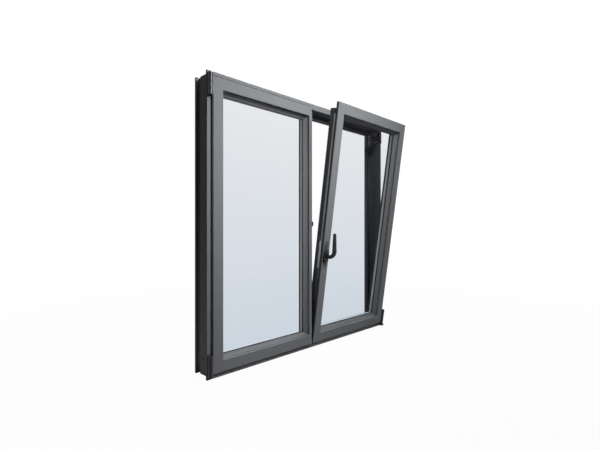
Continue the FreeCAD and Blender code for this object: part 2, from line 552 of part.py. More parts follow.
# Handle on the lock stile, pointing up in the tilt position
HANDLE_X = "(%s + dims.handle_inset)" % ACTIVE_LEFT
rose = doc.addObject("PartDesign::Body", "handle_rose")
half_width = "(dims.rose_width / 2)"
half_length = "(dims.rose_length / 2)"
inner_width = "(%s - dims.rose_corner)" % half_width
inner_length = "(%s - dims.rose_corner)" % half_length
rose_lines = outline(rose, "rose_lines", "XZ_Plane", [[
    ("0 - " + inner_width, "0 - " + half_length),
    (inner_width, "0 - " + half_length, inner_width, "0 - " + inner_length),
    (half_width, "0 - " + inner_length),
    (half_width, inner_length, inner_width, inner_length),
    (inner_width, half_length),
    ("0 - " + inner_width, half_length, "0 - " + inner_width, inner_length),
    ("0 - " + half_width, inner_length),
    ("0 - " + half_width, "0 - " + inner_length, "0 - " + inner_width, "0 - " + inner_length)]])
rose_block = pad(rose, "rose_block", rose_lines, "dims.rose_thickness")
soften(rose, "rose_rim", rose_block, Vector(0, -1, 0), "dims.rose_bevel")
rose.Placement = home.multiply(tilt).multiply(
    Placement(point(HANDLE_X, FACE_DEPTH, "dims.handle_height"), Rotation()))
keep("handle_rose", rose)

# The lever seen from its side: a neck that leaves the rose, a bend, and a grip that tapers as it leans back
lever = doc.addObject("PartDesign::Body", "lever_bar")
half = "(dims.lever_thickness / 2)"
bend_start = "(0 - dims.neck_length)"
bend_middle = "dims.bend_radius"


def flank(side, taper):
    """Where the grip's outer or inner flank leaves the bend, and where it ends."""
    radius = "(dims.bend_radius %s %s)" % (side, half)
    lean = "((dims.grip_lean %s) * 1 deg)" % taper
    foot = ("(%s - %s * cos(%s))" % (bend_start, radius, lean), "(%s + %s * sin(%s))" % (bend_middle, radius, lean))
    return foot, ("%s + dims.grip_length * sin(%s)" % (foot[0], lean),
                  "%s + dims.grip_length * cos(%s)" % (foot[1], lean))


outer_foot, outer_tip = flank("+", "+ dims.grip_taper")
inner_foot, inner_tip = flank("-", "- dims.grip_taper")
bar = pad(lever, "lever_side", outline(lever, "lever_side_lines", "YZ_Plane", [[
    ("0", "0 - " + half), (bend_start, "0 - " + half, bend_start, bend_middle), outer_foot, outer_tip,
    inner_tip, (*inner_foot, bend_start, bend_middle), (bend_start, half), ("0", half)]]), "dims.lever_width")
bar.SideType = "Symmetric"
left_rim = soften(lever, "lever_left_rim", bar, Vector(-1, 0, 0), "dims.lever_bevel")
soften(lever, "lever_right_rim", left_rim, Vector(1, 0, 0), "dims.lever_bevel")
tip_radius = "(dims.lever_width / 2)"
tip_middle = "(%s - %s)" % (outer_tip[1], tip_radius)
cut_through(lever, "lever_tip", outline(lever, "lever_tip_lines", "XZ_Plane", [[
    (tip_radius, tip_middle, "0", tip_middle), ("0 - " + tip_radius, tip_middle),
    ("0 - dims.lever_width", tip_middle), ("0 - dims.lever_width", "%s + 1" % outer_tip[1]),
    ("dims.lever_width", "%s + 1" % outer_tip[1]), ("dims.lever_width", tip_middle)]]))
collar = cylinder("lever_collar", "dims.collar_radius", "dims.collar_length", "0", "0", "0", Vector(0, -1, 0))
handle_lever = fuse("handle_lever", [lever, collar])
lever_start = "%s - dims.rose_thickness - dims.spindle_clearance" % FACE_DEPTH
handle_lever.Placement = home.multiply(tilt).multiply(
    Placement(point(HANDLE_X, lever_start, "dims.handle_height"), Rotation()))
keep("handle_lever", handle_lever)

doc.recompute()
faults = [item.Name for item in doc.Objects if "Invalid" in item.State or "Error" in item.State]
faults += [item.Label for item in kept if item.Shape.isNull() or not item.Shape.isValid()]
if faults:
    raise RuntimeError("failed: " + ", ".join(faults))

os.makedirs("parts", exist_ok=True)
for item in kept:
    item.Shape.exportStep("parts/%s.step" % item.Label)
    print(item.Label, len(item.Shape.Solids), round(item.Shape.Volume))
print(len(kept), "sub-parts")
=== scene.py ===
import bpy
import bmesh
import json
import math
from mathutils import Matrix, Vector

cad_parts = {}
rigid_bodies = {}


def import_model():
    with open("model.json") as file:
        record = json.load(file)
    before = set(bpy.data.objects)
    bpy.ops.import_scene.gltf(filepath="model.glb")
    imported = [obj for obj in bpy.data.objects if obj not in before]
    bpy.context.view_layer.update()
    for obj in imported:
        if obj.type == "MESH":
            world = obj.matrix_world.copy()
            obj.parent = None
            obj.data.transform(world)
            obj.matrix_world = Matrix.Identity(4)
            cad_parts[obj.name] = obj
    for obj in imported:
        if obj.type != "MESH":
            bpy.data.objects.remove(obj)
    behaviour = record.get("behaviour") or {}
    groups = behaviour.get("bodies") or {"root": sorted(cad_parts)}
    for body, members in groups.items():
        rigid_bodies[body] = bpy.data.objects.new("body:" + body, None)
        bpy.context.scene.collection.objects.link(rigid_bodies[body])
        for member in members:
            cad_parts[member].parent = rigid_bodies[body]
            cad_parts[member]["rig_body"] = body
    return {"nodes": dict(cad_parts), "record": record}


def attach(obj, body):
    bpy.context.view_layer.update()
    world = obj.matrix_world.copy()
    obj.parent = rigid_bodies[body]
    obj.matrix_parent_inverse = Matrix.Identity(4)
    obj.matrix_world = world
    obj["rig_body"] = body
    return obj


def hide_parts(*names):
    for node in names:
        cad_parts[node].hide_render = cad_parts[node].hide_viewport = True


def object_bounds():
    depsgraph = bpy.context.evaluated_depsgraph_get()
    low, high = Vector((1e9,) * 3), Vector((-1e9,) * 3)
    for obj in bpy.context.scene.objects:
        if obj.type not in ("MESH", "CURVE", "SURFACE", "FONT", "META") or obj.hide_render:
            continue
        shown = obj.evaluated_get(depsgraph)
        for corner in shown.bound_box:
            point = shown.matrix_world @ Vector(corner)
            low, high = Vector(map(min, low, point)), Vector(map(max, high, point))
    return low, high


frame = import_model()
cadLow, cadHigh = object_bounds()
nodes = frame["nodes"]
slotOf = {row["node"]: row["material_slot"] for row in frame["record"]["subparts"]}
scene = bpy.context.scene
print("frame loaded:", len(nodes), "nodes")

# The window's layout: millimetres from the frame's lower left front corner, x right, y outward, z up
layout = {
    "origin": (550, 34, 8), "margin": 19, "proud": 11, "handleLeafEdge": 537, "handleHeight": 418,
    "tiltAngle": 8.2, "pivotForward": 18,
}


def place(x, y, z):
    ox, oy, oz = layout["origin"]
    return Vector(((x - ox) / 1000, (y - oy) / 1000, (z - oz) / 1000))


# the handle leaf is laid out closed, then leans into the room about its lower edge
pivot = place(layout["origin"][0], -layout["pivotForward"], layout["margin"])
lean = (Matrix.Translation(pivot) @ Matrix.Rotation(math.radians(layout["tiltAngle"]), 4, "X")
        @ Matrix.Translation(-pivot))
closed = Matrix.Identity(4)


# Shader sums: a socket that takes part in Python expressions
class Value:
    def __init__(self, finish, socket):
        self.finish, self.socket = finish, socket

    def maths(self, operation, *terms):
        return self.finish.node("ShaderNodeMath", {"operation": operation}, dict(enumerate(terms)))

    def __add__(self, other):
        return self.maths("ADD", self, other)

    def __sub__(self, other):
        return self.maths("SUBTRACT", self, other)

    def __rsub__(self, other):
        return self.maths("SUBTRACT", other, self)

    def __mul__(self, other):
        return self.maths("MULTIPLY", self, other)

    def __truediv__(self, other):
        return self.maths("DIVIDE", self, other)

    def __gt__(self, other):
        return self.maths("GREATER_THAN", self, other)

    __radd__ = __add__
    __rmul__ = __mul__


# One way to add any node, for materials and for geometry trees
class Tree:
    def __init__(self, tree):
        self.tree = tree

    def node(self, kind, settings=None, inputs=None, output=0):
        made = self.tree.nodes.new(kind)
        for key, setting in (settings or {}).items():
            setattr(made, key, setting)
        for key, given in (inputs or {}).items():
            if isinstance(given, Value):
                self.tree.links.new(given.socket, made.inputs[key])
            else:
                made.inputs[key].default_value = given
        return Value(self, made.outputs[output] if made.outputs else None)


class Finish(Tree):
    def __init__(self, name):
        self.material = bpy.data.materials.new(name)
        self.material.use_nodes = True
        super().__init__(self.material.node_tree)
        self.tree.nodes.clear()

    def spot(self, stretch=(1, 1, 1)):
        where = self.node("ShaderNodeTexCoord", output="Object")
        return self.node("ShaderNodeMapping", {}, {"Vector": where, "Scale": stretch})

    def along(self, axis):
        return self.node("ShaderNodeSeparateXYZ", {}, {"Vector": self.spot()}, output=axis)

    def noise(self, scale, detail, stretch=(1, 1, 1), roughness=0.5):
        return self.node("ShaderNodeTexNoise", {}, {
            "Vector": self.spot(stretch), "Scale": scale, "Detail": detail, "Roughness": roughness})

    def mix(self, factor, first, second):
        return self.node("ShaderNodeMix", {"data_type": "RGBA"}, {0: factor, 6: first, 7: second}, output=2)

    def bump(self, height, strength, distance):
        return self.node("ShaderNodeBump", {}, {"Height": height, "Strength": strength, "Distance": distance})

    def clamped(self, number):
        return self.node("ShaderNodeClamp", {}, {"Value": number})

    def surface(self, shader):
        self.node("ShaderNodeOutputMaterial", {}, {"Surface": shader})
        return self.material

    def principled(self, **inputs):
        return self.surface(self.node("ShaderNodeBsdfPrincipled", {}, {
            key.replace("_", " "): given for key, given in inputs.items()}))


def tint(colour, factor=1.0):
    return (*[channel * factor for channel in colour], 1)


noiseMiddle = 0.5  # a noise varies about this value

# Satin powder coat: a fine grain over faint clouds
powder = {
    "colour": (0.130, 0.135, 0.142), "cloudScale": 7, "cloudShade": 0.04, "grainScale": 1500, "grainShare": 0.3,
    "roughness": 0.38, "grainRoughness": 0.08, "cloudRoughness": 0.05, "specular": 0.035,
    "bump": 0.35, "grainDepth": 0.00003,
}


def powderCoat(name):
    finish = Finish(name)
    clouds = finish.noise(powder["cloudScale"], detail=3)
    grain = finish.noise(powder["grainScale"], detail=2, roughness=0.6)
    tone = clouds * (1 - powder["grainShare"]) + grain * powder["grainShare"]
    colour = finish.mix(tone, tint(powder["colour"], 1 - powder["cloudShade"]),
                        tint(powder["colour"], 1 + powder["cloudShade"]))
    roughness = (powder["roughness"] + (grain - noiseMiddle) * powder["grainRoughness"]
                 + (clouds - noiseMiddle) * powder["cloudRoughness"])
    return finish.principled(Base_Color=colour, Roughness=roughness, Specular_IOR_Level=powder["specular"],
                             Normal=finish.bump(grain, powder["bump"], powder["grainDepth"]))


# Clear glass: what one face of a pane lets through at its head and at its foot, darker and bluer at the foot as
# painted reflection of the surroundings, and how it shines
glass = {
    "top": (0.944, 0.948, 0.953), "bottom": (0.884, 0.906, 0.930), "foot": 0.05, "head": 1.0,
    "shine": 1.05, "roughness": 0.02, "smearScale": 40, "smear": 0.02,
}


def clearGlass(name):
    finish = Finish(name)
    # painted reflection: with height, the see-through tint shades from the head's colour to the foot's darker,
    # bluer colour
    rise = finish.clamped((finish.along("Z") - glass["foot"]) / (glass["head"] - glass["foot"]))
    foot, head = [finish.node("ShaderNodeBsdfTransparent", {}, {"Color": tint(glass[end])})
                  for end in ("bottom", "top")]
    clear = finish.node("ShaderNodeMixShader", {}, {0: rise, 1: foot, 2: head})
    roughness = glass["roughness"] + finish.noise(glass["smearScale"], detail=3) * glass["smear"]
    mirror = finish.node("ShaderNodeBsdfPrincipled", {}, {
        "Base Color": (1, 1, 1, 1), "Metallic": 1.0, "Roughness": roughness})
    # only the outer faces shine, because a ray inside the pane would be caught between them
    inside = finish.node("ShaderNodeNewGeometry", output="Backfacing")
    edge = finish.node("ShaderNodeFresnel", {}, {"IOR": glass["shine"]}) * (1 - inside)
    return finish.surface(finish.node("ShaderNodeMixShader", {}, {0: edge, 1: clear, 2: mirror}))


# Matt black rubber with a faint bloom
sealRubber = {
    "colour": (0.010, 0.010, 0.011), "dark": 0.85, "bloomed": 1.3, "bloomScale": 25, "grainScale": 900,
    "roughness": 0.62, "grainRoughness": 0.15, "specular": 0.35, "bump": 0.3, "grainDepth": 0.00003,
}


def rubber(name):
    finish = Finish(name)
    grain = finish.noise(sealRubber["grainScale"], detail=3)
    bloom = finish.noise(sealRubber["bloomScale"], detail=2)
    colour = finish.mix(bloom, tint(sealRubber["colour"], sealRubber["dark"]),
                        tint(sealRubber["colour"], sealRubber["bloomed"]))
    return finish.principled(Base_Color=colour, Specular_IOR_Level=sealRubber["specular"],
                             Roughness=sealRubber["roughness"] + grain * sealRubber["grainRoughness"],
                             Normal=finish.bump(grain, sealRubber["bump"], sealRubber["grainDepth"]))


# Satin black hardware; wingStart is the layout x at which a hinge's barrel ends and its wing begins
hardware = {
    "dark": (0.007, 0.007, 0.008), "light": (0.012, 0.012, 0.014), "wearScale": 30, "grainScale": 1100,
    "roughness": 0.26, "leverRoughness": 0.16, "wearRoughness": 0.08, "specular": 0.22,
    "bump": 0.15, "grainDepth": 0.00002,
    "wingStart": 16.5, "wingShade": 0.9, "wingRoughness": 0.15, "grainRoughness": 0.04,
}


def blackHardware(name, roughness):
    finish = Finish(name)
    grain = finish.noise(hardware["grainScale"], detail=2)
    wear = finish.noise(hardware["wearScale"], detail=4)
    colour = finish.mix(wear, tint(hardware["dark"]), tint(hardware["light"]))
    return finish.principled(Base_Color=colour, Specular_IOR_Level=hardware["specular"],
                             Roughness=roughness + wear * hardware["wearRoughness"],
                             Normal=finish.bump(grain, hardware["bump"], hardware["grainDepth"]))


def wingedHardware(name):
    # a black barrel with a powder coated wing on the leaf's side of it
    finish = Finish(name)
    wing = finish.along("X") > place(hardware["wingStart"], 0, 0).x
    grain = finish.noise(hardware["grainScale"], detail=2)
    barrel = finish.mix(grain, tint(hardware["dark"]), tint(hardware["light"]))
    colour = finish.mix(wing, barrel, tint(powder["colour"], hardware["wingShade"]))
    roughness = (hardware["roughness"] + wing * hardware["wingRoughness"]
                 + grain * hardware["grainRoughness"])
    return finish.principled(Base_Color=colour, Roughness=roughness, Specular_IOR_Level=hardware["specular"],
                             Normal=finish.bump(grain, hardware["bump"], hardware["grainDepth"]))


# Metals drawn along their length
brushed = {
    "lineScale": 60, "patchScale": 14, "patchShare": 0.6, "dull": 0.88, "bright": 1.08,
    "lineRoughness": 0.12, "bump": 0.2, "lineDepth": 0.00004,
    "zinc": {"colour": (0.44, 0.445, 0.45), "roughness": 0.34, "stretch": (1, 1, 0.1)},
    "rail": {"colour": (0.24, 0.24, 0.25), "roughness": 0.42, "stretch": (1, 1, 0.05)},
}


def brushedMetal(name, kind):
    metal = brushed[kind]
    finish = Finish(name)
    lines = finish.noise(brushed["lineScale"], detail=4, stretch=metal["stretch"], roughness=0.7)
    patches = finish.noise(brushed["patchScale"], detail=3)
    tone = patches * brushed["patchShare"] + lines * (1 - brushed["patchShare"])
    colour = finish.mix(tone, tint(metal["colour"], brushed["dull"]),
                        tint(metal["colour"], brushed["bright"]))
    return finish.principled(Base_Color=colour, Metallic=1.0,
                             Roughness=metal["roughness"] + lines * brushed["lineRoughness"],
                             Normal=finish.bump(lines, brushed["bump"], brushed["lineDepth"]))


# Pale metals with little shine: the lock's cover plate and the spacer between the panes
pale = {
    "lineRoughness": 0.1,
    "cover": {"low": (0.80, 0.81, 0.82), "high": (0.90, 0.91, 0.92), "lineScale": 80, "detail": 3,
              "stretch": (1, 1, 0.1), "metallic": 0.15, "roughness": 0.3},
    "spacer": {"low": (0.42, 0.425, 0.43), "high": (0.54, 0.545, 0.55), "lineScale": 300, "detail": 2,
               "stretch": (1, 8, 1), "metallic": 0.35, "roughness": 0.45},
}


def paleMetal(name, kind):
    metal = pale[kind]
    finish = Finish(name)
    lines = finish.noise(metal["lineScale"], metal["detail"], stretch=metal["stretch"])
    colour = finish.mix(lines, tint(metal["low"]), tint(metal["high"]))
    return finish.principled(Base_Color=colour, Metallic=metal["metallic"],
                             Roughness=metal["roughness"] + lines * pale["lineRoughness"])


finishes = {
    "frame": powderCoat("anthracite_frame"),
    "leaf": powderCoat("anthracite_leaf"),
    "bead": powderCoat("anthracite_bead"),
    "glass": clearGlass("clear_float_glass"),
    "rubber": rubber("black_rubber"),
    "spacer": paleMetal("spacer_aluminium", "spacer"),
    "hardware": blackHardware("black_hardware", hardware["roughness"]),
    "steel": brushedMetal("zinc_plated_steel", "zinc"),
}
ownFinish = {
    "lock_rail": brushedMetal("dark_rail", "rail"),
    "lock_faceplate": paleMetal("pale_faceplate", "cover"),
    "left_upper_hinge": wingedHardware("upper_hinge_black"),
    "left_lower_hinge": wingedHardware("lower_hinge_black"),
    "handle_lever": blackHardware("black_lever", hardware["leverRoughness"]),
}


def finishOf(node):
    return ownFinish.get(node, finishes[slotOf[node]])


for name, node in nodes.items():
    for materialSlot in node.material_slots:
        materialSlot.material = finishOf(name)
print("finishes made:", len(finishes) + len(ownFinish))


def piece(name, mesh, material, body):
    # a plain mesh object at the origin, which rides on a body
    data = bpy.data.meshes.new(name)
    mesh.to_mesh(data)
    mesh.free()
    data.materials.append(material)
    made = bpy.data.objects.new(name, data)
    scene.collection.objects.link(made)
    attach(made, body)
    return made


def bevelled(made, width, segments):
    bevel = made.modifiers.new("rounding", "BEVEL")
    bevel.width = width
    bevel.segments = segments
    return bevel


# Radius in metres for each slot; behind is the share of it on a leaf's edges behind its front face
rounding = {
    "frame": 0.0009, "leaf": 0.0026, "bead": 0.0010, "rubber": 0.0008, "hardware": 0.0009, "steel": 0.0005,
    "segments": 3, "sharpAngle": 25, "behind": 0.3, "frontDepth": 0.0005, "merge": 0.000002, "flatAngle": 0.5,
    "cutFacing": 0.3,
}


def rounded(node):
    # a copy of a CAD piece with its edges rounded, which stands for it; mitred ends stay sharp
    mesh = bmesh.new()
    mesh.from_mesh(nodes[node].data)
    bmesh.ops.remove_doubles(mesh, verts=mesh.verts, dist=rounding["merge"])
    bmesh.ops.dissolve_limit(mesh, angle_limit=math.radians(rounding["flatAngle"]), verts=mesh.verts,
                             edges=mesh.edges)
    slot = slotOf[node]
    turn = lean if node.startswith("right_leaf") else closed
    extent = [max(axis) - min(axis) for axis in zip(*[vertex.co for vertex in mesh.verts])]
    lengthwise = turn.to_3x3() @ (Vector((1, 0, 0)) if extent[0] > extent[2] else Vector((0, 0, 1)))
    toClosed = turn.inverted()
    frontLimit = place(0, -layout["proud"], 0).y + rounding["frontDepth"]
    weights = mesh.edges.layers.float.new("bevel_weight_edge")
    for face in mesh.faces:
        face.smooth = True
    for edge in mesh.edges:
        if len(edge.link_faces) == 2 and edge.calc_face_angle() > math.radians(rounding["sharpAngle"]):
            front = slot != "leaf" or all((toClosed @ vertex.co).y < frontLimit for vertex in edge.verts)
            cutEnd = slot in ("frame", "leaf", "bead") and any(
                abs(face.normal.dot(lengthwise)) > rounding["cutFacing"] for face in edge.link_faces)
            edge.smooth = not cutEnd
            edge[weights] = 0.0 if cutEnd else 1.0 if front else rounding["behind"]
    made = piece(node + "_finished", mesh, finishOf(node), nodes[node]["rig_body"])
    bevelled(made, rounding[slot], rounding["segments"]).limit_method = "WEIGHT"
    flatten = made.modifiers.new("flatten", "WEIGHTED_NORMAL")
    flatten.keep_sharp = True
    flatten.weight = 100
    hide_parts(node)


keptAsCad = ("pane", "spacer", "seal", "handle_lever", "lock_keeper")  # the last two get their own pieces
for name in sorted(nodes):
    if not name.endswith(keptAsCad):
        rounded(name)
print("edges rounded")


# Handle lever: a J seen from the side, flattened across, thinner towards its round tip. Millimetres forward
# of the leaf's face, half sizes across and through the bar, and the collar's radius and reach
lever = {
    "fromEdge": 18.5, "neckStart": 12, "neckEnd": 22, "bend": 27, "bendRings": 14, "lean": 7, "grip": 71,
    "gripRings": 9, "tipRings": 7, "tipShrink": 0.02, "neckHalf": (7.4, 7.6), "neckShare": 0.3,
    "bendHalf": (9.2, 9.3), "tipHalf": (7.4, 6.3), "sides": 28, "squareness": 2.3, "sharpAngle": 35,
    "collar": ((10.4, 10.3), (10.4, 13.2), (9.6, 14.2), (7.0, 14.2)), "collarSides": 40,
}


def leverSpine():
    # forward reach, height, facing in degrees, and share: 0 at the neck, 1 past the bend, 2 at the grip's end
    turn, neckShare = lever["bend"], lever["neckShare"]
    spine = [(lever["neckStart"], 0, 90, 0.0), (lever["neckEnd"], 0, 90, neckShare)]
    for i in range(1, lever["bendRings"] + 1):
        angle = math.radians(-90 + (90 + lever["lean"]) * i / lever["bendRings"])
        spine.append((lever["neckEnd"] + turn * math.cos(angle), turn + turn * math.sin(angle),
                      -math.degrees(angle), neckShare + (1 - neckShare) * i / lever["bendRings"]))
    reach, rise = spine[-1][:2]
    back, along = math.sin(math.radians(lever["lean"])), math.cos(math.radians(lever["lean"]))
    for i in range(1, lever["gripRings"] + 1):
        step = lever["grip"] * i / lever["gripRings"]
        spine.append((reach - step * back, rise + step * along, -lever["lean"], 1 + i / lever["gripRings"]))
    return spine


def leverRings():
    # forward reach, height, facing and half sizes across and through the bar, from the neck to the tip
    rings = []
    for forward, height, facing, share in leverSpine():
        start, end = ("neckHalf", "bendHalf") if share <= 1 else ("bendHalf", "tipHalf")
        part = share if share <= 1 else share - 1
        wide, thick = [first + (last - first) * part for first, last in zip(lever[start], lever[end])]
        rings.append((forward, height, facing, wide, thick))
    forward, height, facing, wide, thick = rings[-1]
    back, along = math.sin(math.radians(lever["lean"])), math.cos(math.radians(lever["lean"]))
    for i in range(1, lever["tipRings"] + 1):
        angle = math.radians(90 * i / lever["tipRings"])
        shrink = max(math.cos(angle), lever["tipShrink"])
        step = thick * math.sin(angle)
        rings.append((forward - step * back, height + step * along, facing, wide * shrink, thick * shrink))
    return rings


def skin(mesh, loops):
    # walls between neighbouring loops, and a cap at each end
    for low, high in zip(loops, loops[1:]):
        for i in range(len(low)):
            j = (i + 1) % len(low)
            mesh.faces.new((low[i], low[j], high[j], high[i]))
    mesh.faces.new(loops[0][::-1])
    mesh.faces.new(loops[-1])


def makeLever():
    mesh = bmesh.new()
    across = layout["handleLeafEdge"] + lever["fromEdge"]
    foot, face = layout["handleHeight"], -layout["proud"]
    loops = []
    for forward, height, facing, wide, thick in leverRings():
        loop = []
        for i in range(lever["sides"]):
            angle = math.tau * i / lever["sides"]
            sideways, through = [math.copysign(abs(part) ** (2 / lever["squareness"]), part)
                                 for part in (math.cos(angle), math.sin(angle))]
            out = through * thick
            tipped = math.radians(facing)
            loop.append(mesh.verts.new(place(
                across + sideways * wide, face - forward - out * math.cos(tipped),
                foot + height - out * math.sin(tipped))))
        loops.append(loop)
    skin(mesh, loops)
    loops = []
    for radius, forward in lever["collar"]:
        loops.append([mesh.verts.new(place(
            across + radius * math.cos(math.tau * i / lever["collarSides"]), face - forward,
            foot + radius * math.sin(math.tau * i / lever["collarSides"])))
            for i in range(lever["collarSides"])])
    skin(mesh, loops)
    bmesh.ops.recalc_face_normals(mesh, faces=mesh.faces)
    mesh.transform(lean)
    for wall in mesh.faces:
        wall.smooth = len(wall.verts) == 4
    for edge in mesh.edges:
        edge.smooth = edge.calc_face_angle() < math.radians(lever["sharpAngle"])
    made = piece("handle_lever_finished", mesh, finishOf("handle_lever"), "handle")
    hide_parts("handle_lever")


makeLever()
print("handle made")

# Pale cover plate of the lock, over the rail on the lock stile's side
coverPlate = {
    "front": 16, "back": 27, "low": 357.5, "high": 480.5, "outer": 550.5, "inner": 554.4, "endSides": 10,
    "bevel": 0.0005, "bevelSegments": 2,
}


def makeCoverPlate():
    mesh = bmesh.new()
    radius = (coverPlate["back"] - coverPlate["front"]) / 2
    middle = coverPlate["front"] + radius
    outline = []
    for end, start in ((coverPlate["high"] - radius, 0), (coverPlate["low"] + radius, 180)):
        for i in range(coverPlate["endSides"] + 1):
            angle = math.radians(start + 180 * i / coverPlate["endSides"])
            outline.append((middle + radius * math.cos(angle), end + radius * math.sin(angle)))
    skin(mesh, [[mesh.verts.new(place(coverPlate[side], y, z)) for y, z in outline]
                for side in ("outer", "inner")])
    bmesh.ops.recalc_face_normals(mesh, faces=mesh.faces)
    mesh.transform(lean)
    made = piece("lock_cover_plate", mesh, ownFinish["lock_faceplate"], "window")
    bevelled(made, coverPlate["bevel"], coverPlate["bevelSegments"])


makeCoverPlate()

# Keeper on the meeting stile: a plate with a nose that the lock's cam runs behind. Each part's reach from the
# wall, front, back, foot and head, and how much it narrows towards its outer face
keeper = {
    "wall": 541.5, "bevel": 0.0006, "bevelSegments": 2,
    "plate": (2.4, 1.5, 23.5, 545.5, 568.5), "plateSlope": 0,
    "nose": (8.2, -2.2, 13.0, 546.5, 567.5), "noseSlope": 1.0,
}


def makeKeeper():
    mesh = bmesh.new()
    wall = keeper["wall"]
    for part in ("plate", "nose"):
        out, front, back, low, high = keeper[part]
        slope = keeper[part + "Slope"]
        outline = ((wall, front), (wall + out, front + slope), (wall + out, back - slope), (wall, back))
        skin(mesh, [[mesh.verts.new(place(x, y, z)) for x, y in outline] for z in (low, high)])
    bmesh.ops.recalc_face_normals(mesh, faces=mesh.faces)
    made = piece("lock_keeper_finished", mesh, finishes["hardware"], "window")
    bevelled(made, keeper["bevel"], keeper["bevelSegments"])
    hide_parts("lock_keeper")


makeKeeper()
print("lock plate and keeper made")


# Geometry trees
def geometryTree(name, inputs):
    group = bpy.data.node_groups.new(name, "GeometryNodeTree")
    group.interface.new_socket("Geometry", in_out="OUTPUT", socket_type="NodeSocketGeometry")
    group.interface.new_socket("Geometry", in_out="INPUT", socket_type="NodeSocketGeometry")
    for label, kind in inputs.items():
        group.interface.new_socket(label, in_out="INPUT", socket_type=kind)
    tree = Tree(group)
    entry = group.nodes.new("NodeGroupInput")
    return tree, {label: Value(tree, entry.outputs[label]) for label in ("Geometry", *inputs)}


def closeTree(tree, geometry, material):
    solid = tree.node("GeometryNodeRealizeInstances", {}, {"Geometry": geometry})
    coated = tree.node("GeometryNodeSetMaterial", {}, {"Geometry": solid, "Material": material})
    tree.node("NodeGroupOutput", {}, {"Geometry": coated})
    return tree.tree


def grow(name, group, seed, values, turn):
    # the tree's result as a plain mesh, turned into its pose
    made = bpy.data.objects.new(name, seed)
    scene.collection.objects.link(made)
    modifier = made.modifiers.new("grow", "NODES")
    modifier.node_group = group
    for item in group.interface.items_tree:
        if item.in_out == "INPUT" and item.name in values:
            modifier[item.identifier] = values[item.name]
    graph = bpy.context.evaluated_depsgraph_get()
    result = bpy.data.meshes.new_from_object(made.evaluated_get(graph), depsgraph=graph)
    made.modifiers.remove(modifier)
    result.transform(turn)
    made.data = result
    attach(made, "window")


def studTree():
    # copies of a template on points that carry their facing and size
    tree, given = geometryTree("studs", {"Template": "NodeSocketObject", "Turn Seed": "NodeSocketInt",
                                         "Finish": "NodeSocketMaterial"})
    facing = tree.node("GeometryNodeInputNamedAttribute", {"data_type": "FLOAT_VECTOR"}, {"Name": "facing"})
    size = tree.node("GeometryNodeInputNamedAttribute", {"data_type": "FLOAT"}, {"Name": "size"})
    aimed = tree.node("FunctionNodeAlignRotationToVector", {"axis": "Z"}, {"Vector": facing})
    angle = tree.node("FunctionNodeRandomValue", {"data_type": "FLOAT"},
                      {"Max": math.tau, "Seed": given["Turn Seed"]}, output="Value")
    spin = tree.node("FunctionNodeAxisAngleToRotation", {}, {"Axis": (0, 0, 1), "Angle": angle})
    turned = tree.node("FunctionNodeRotateRotation", {"rotation_space": "LOCAL"},
                       {"Rotation": aimed, "Rotate By": spin})
    template = tree.node("GeometryNodeObjectInfo", {}, {"Object": given["Template"], "As Instance": True},
                         output="Geometry")
    studs = tree.node("GeometryNodeInstanceOnPoints", {}, {
        "Points": given["Geometry"], "Instance": template, "Rotation": turned, "Scale": size})
    return closeTree(tree, studs, given["Finish"])


def pointMesh(name, spots):
    # spots: place in the layout, facing, size in millimetres
    mesh = bpy.data.meshes.new(name)
    mesh.from_pydata([place(*spot) for spot, facing, size in spots], [], [])
    facings = mesh.attributes.new("facing", "FLOAT_VECTOR", "POINT")
    facings.data.foreach_set("vector", [number for spot, facing, size in spots for number in facing])
    sizes = mesh.attributes.new("size", "FLOAT", "POINT")
    sizes.data.foreach_set("value", [size / 1000 for spot, facing, size in spots])
    return mesh


# Screw head of one unit in radius: a rim, a low dome with a flat top, and a lobed socket
screwHead = {
    "sides": 18, "rim": 0.12, "dome": 0.32, "flat": 0.55, "socket": 0.4, "lobes": 6, "lobe": 0.06,
    "socketDepth": 0.1,
}


def screwTemplate():
    mesh = bmesh.new()
    rings = []
    levels = [(1.0, 0.0, 0), (1.0, screwHead["rim"], 0), (screwHead["flat"], screwHead["dome"], 0),
              (screwHead["socket"], screwHead["dome"], screwHead["lobe"]),
              (screwHead["socket"], screwHead["socketDepth"], screwHead["lobe"])]
    for radius, height, lobe in levels:
        ring = []
        for i in range(screwHead["sides"]):
            angle = math.tau * i / screwHead["sides"]
            reach = radius + lobe * math.cos(angle * screwHead["lobes"])
            ring.append(mesh.verts.new((reach * math.cos(angle), reach * math.sin(angle), height)))
        rings.append(ring)
    skin(mesh, rings)
    data = bpy.data.meshes.new("screw_template")
    mesh.to_mesh(data)
    mesh.free()
    return bpy.data.objects.new("screw_template", data)


# Places in the layout, and each head's radius, in millimetres
screws = {
    "lockSide": 552.0, "lockFront": 3.0, "lockHeights": (362, 476), "lockSize": 2.7,
    "railMiddle": 16, "railHeights": (110, 230, 560, 700, 840, 985), "railSize": 3.2,
    "keeperSide": 543.9, "keeperFront": 18, "keeperHeights": (551, 563), "keeperSize": 2.0,
    "plateSide": 1072.5, "plateSpots": ((14, 1012), (25, 1012), (14, 1048), (25, 1048)), "plateSize": 2.6,
    "turnSeed": 7,
}
left, right = (-1, 0, 0), (1, 0, 0)
lockScrews = [((screws["lockSide"], screws["lockFront"], z), left, screws["lockSize"])
              for z in screws["lockHeights"]]
lockScrews += [((screws["lockSide"], screws["railMiddle"], z), left, screws["railSize"])
               for z in screws["railHeights"]]
frameScrews = [((screws["keeperSide"], screws["keeperFront"], z), right, screws["keeperSize"])
               for z in screws["keeperHeights"]]
frameScrews += [((screws["plateSide"], y, z), left, screws["plateSize"]) for y, z in screws["plateSpots"]]
template = screwTemplate()
studs = studTree()
